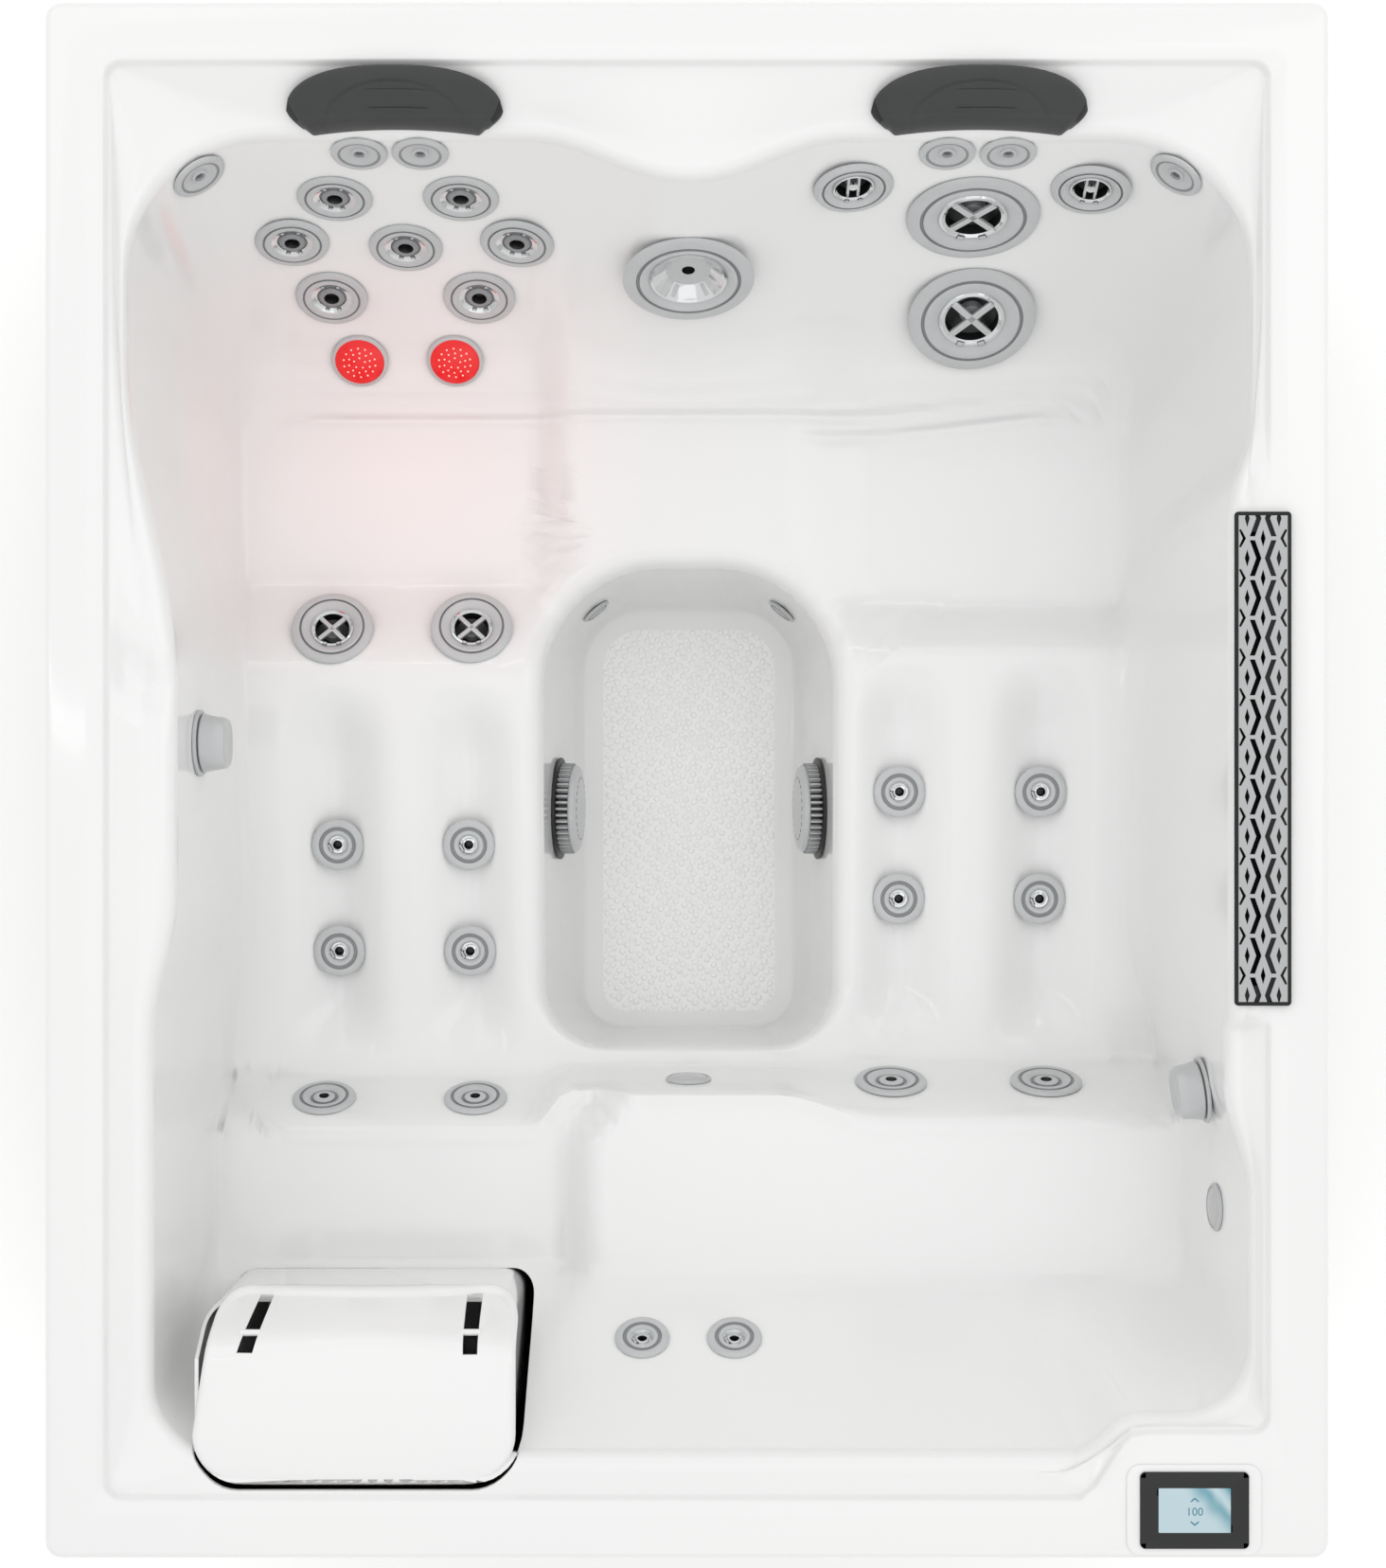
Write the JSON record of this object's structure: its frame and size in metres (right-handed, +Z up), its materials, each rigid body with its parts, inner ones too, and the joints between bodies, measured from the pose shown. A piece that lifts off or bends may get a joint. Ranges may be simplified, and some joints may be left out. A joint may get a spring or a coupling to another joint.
{
  "type": "hot tub",
  "caption": "Free-standing rectangular acrylic hot tub with two lounges, a bench, a footwell, jets, pillows, a waterfall, a filter corner, a control panel and its cabinet.",
  "frame": {"origin": "on the floor, under the middle of the tub's outline", "axes": "+Z up; +Y points at the pillow end; +X points at the side with the waterfall"},
  "size_m": [1.68, 2.036, 0.9112],
  "materials": {
    "acrylic": "white gloss acrylic",
    "fitting": "satin grey plastic",
    "red_lens": "red lens",
    "clear_lens": "frosted lens",
    "foam": "closed-cell foam, matt",
    "grille": "satin grey on black",
    "dark_plastic": "black",
    "screen": "lit display under clear glass",
    "filter_paper": "pleated filter cloth",
    "timber": "sawn softwood",
    "cladding": "matt grey",
    "motor": "painted dark grey",
    "steel": "brushed",
    "box_plastic": "dark grey",
    "pipe": "white"
  },
  "bodies": {
    "tub": {"shell": "acrylic", "left_neck_jets": "fitting", "right_neck_jets": "fitting", "left_back_jets": "fitting", "left_corner_jet": "fitting", "right_corner_jet": "fitting", "left_calf_jets": "fitting", "right_calf_jets": "fitting", "left_foot_jets": "fitting", "right_foot_jets": "fitting", "seat_jets": "fitting", "red_lamps": "red_lens", "footwell_light": "clear_lens", "side_light": "clear_lens", "left_suction_cover": "fitting", "right_suction_cover": "fitting", "left_floor_return": "fitting", "right_floor_return": "fitting", "left_valve_body": "fitting", "right_valve_body": "fitting", "waterfall_trough": "dark_plastic", "panel_surround": "acrylic", "control_panel": "dark_plastic", "panel_screen": "screen", "filter_bucket": "acrylic", "base_tray": "dark_plastic", "frame": "timber", "front_panel": "cladding", "back_panel": "cladding", "left_panel": "cladding", "right_panel": "cladding", "front_left_post": "cladding", "front_right_post": "cladding", "back_left_post": "cladding", "back_right_post": "cladding", "pump_motor": "motor", "pump_wet_end": "dark_plastic", "heater": "steel", "control_box": "box_plastic", "ozone_generator": "box_plastic", "suction_pipes": "pipe", "heater_feed_pipe": "pipe", "pressure_main": "pipe"},
    "center_swirl_jet": {"center_swirl_jet": "fitting"},
    "upper_back_jet": {"upper_back_jet": "fitting"},
    "lower_back_jet": {"lower_back_jet": "fitting"},
    "left_shoulder_jet": {"left_shoulder_jet": "fitting"},
    "right_shoulder_jet": {"right_shoulder_jet": "fitting"},
    "left_thigh_jet": {"left_thigh_jet": "fitting"},
    "right_thigh_jet": {"right_thigh_jet": "fitting"},
    "left_valve_knob": {"left_valve_knob": "fitting"},
    "right_valve_knob": {"right_valve_knob": "fitting"},
    "drain_valve": {"drain_valve": "dark_plastic"},
    "skimmer_weir": {"skimmer_weir": "fitting"},
    "pump_rotor": {"pump_rotor": "steel"},
    "filter_lid": {"filter_lid": "acrylic"},
    "filter_cartridge": {"filter_cartridge": "filter_paper"},
    "left_pillow": {"left_pillow": "foam"},
    "right_pillow": {"right_pillow": "foam"},
    "waterfall_grille": {"waterfall_grille": "grille"}
  },
  "joints": [
    {"name": "center_swirl_jet_turn", "type": "hinge", "parent": "tub", "child": "center_swirl_jet", "pos_m": [0.00166, 0.7108, 0.60737], "axis": [0.0197, -0.8931, 0.4495], "range_deg": [0, 90]},
    {"name": "upper_back_jet_turn", "type": "hinge", "parent": "tub", "child": "upper_back_jet", "pos_m": [0.39799, 0.7835, 0.66157], "axis": [0.0025, -0.9116, 0.4111], "range_deg": [0, 90]},
    {"name": "lower_back_jet_turn", "type": "hinge", "parent": "tub", "child": "lower_back_jet", "pos_m": [0.41399, 0.66641, 0.48949], "axis": [0.0007, -0.7501, 0.6614], "range_deg": [0, 90]},
    {"name": "left_shoulder_jet_turn", "type": "hinge", "parent": "tub", "child": "left_shoulder_jet", "pos_m": [0.22738, 0.81002, 0.73127], "axis": [0.0918, -0.9182, 0.3853], "range_deg": [0, 90]},
    {"name": "right_shoulder_jet_turn", "type": "hinge", "parent": "tub", "child": "right_shoulder_jet", "pos_m": [0.55234, 0.8082, 0.72769], "axis": [-0.1017, -0.9175, 0.3846], "range_deg": [0, 90]},
    {"name": "left_thigh_jet_turn", "type": "hinge", "parent": "tub", "child": "left_thigh_jet", "pos_m": [-0.52339, 0.22362, 0.43772], "axis": [0.0297, 0.4771, 0.8784], "range_deg": [0, 90]},
    {"name": "right_thigh_jet_turn", "type": "hinge", "parent": "tub", "child": "right_thigh_jet", "pos_m": [-0.31828, 0.2244, 0.4359], "axis": [0.0416, 0.4742, 0.8794], "range_deg": [0, 90]},
    {"name": "left_valve_knob_turn", "type": "hinge", "parent": "tub", "child": "left_valve_knob", "pos_m": [-0.6698, 0.05101, 0.71503], "axis": [0.9991, 0.0062, 0.0424], "range_deg": [0, 180]},
    {"name": "right_valve_knob_turn", "type": "hinge", "parent": "tub", "child": "right_valve_knob", "pos_m": [0.71164, -0.42412, 0.71503], "axis": [-0.9911, -0.1286, 0.0332], "range_deg": [0, 180]},
    {"name": "drain_valve_turn", "type": "hinge", "parent": "tub", "child": "drain_valve", "pos_m": [-0.3, -0.994, 0.096], "axis": [0, -1, 0], "range_deg": [0, 90]},
    {"name": "skimmer_weir_turn", "type": "hinge", "parent": "tub", "child": "skimmer_weir", "pos_m": [-0.442, -0.7145, 0.706], "axis": [1, 0, 0], "range_deg": [0, 30]},
    {"name": "pump_rotor_spin", "type": "hinge", "parent": "tub", "child": "pump_rotor", "pos_m": [0.07, -0.64, 0.15], "axis": [1, 0, 0], "continuous": true},
    {"name": "filter_lid_lift", "type": "slide", "parent": "tub", "child": "filter_lid", "axis": [0, 0, 1], "range_m": [0, 0.9]},
    {"name": "filter_cartridge_lift", "type": "slide", "parent": "tub", "child": "filter_cartridge", "axis": [0, 0, 1], "range_m": [0, 0.65]},
    {"name": "left_pillow_lift", "type": "slide", "parent": "tub", "child": "left_pillow", "axis": [0, 0, 1], "range_m": [0, 0.06]},
    {"name": "right_pillow_lift", "type": "slide", "parent": "tub", "child": "right_pillow", "axis": [0, 0, 1], "range_m": [0, 0.06]},
    {"name": "waterfall_grille_lift", "type": "slide", "parent": "tub", "child": "waterfall_grille", "axis": [0, 0, 1], "range_m": [0, 0.15]}
  ],
  "couplings": [
    {"joint": "filter_cartridge_lift", "follows": "filter_lid_lift", "ratio": 0.7}
  ]
}
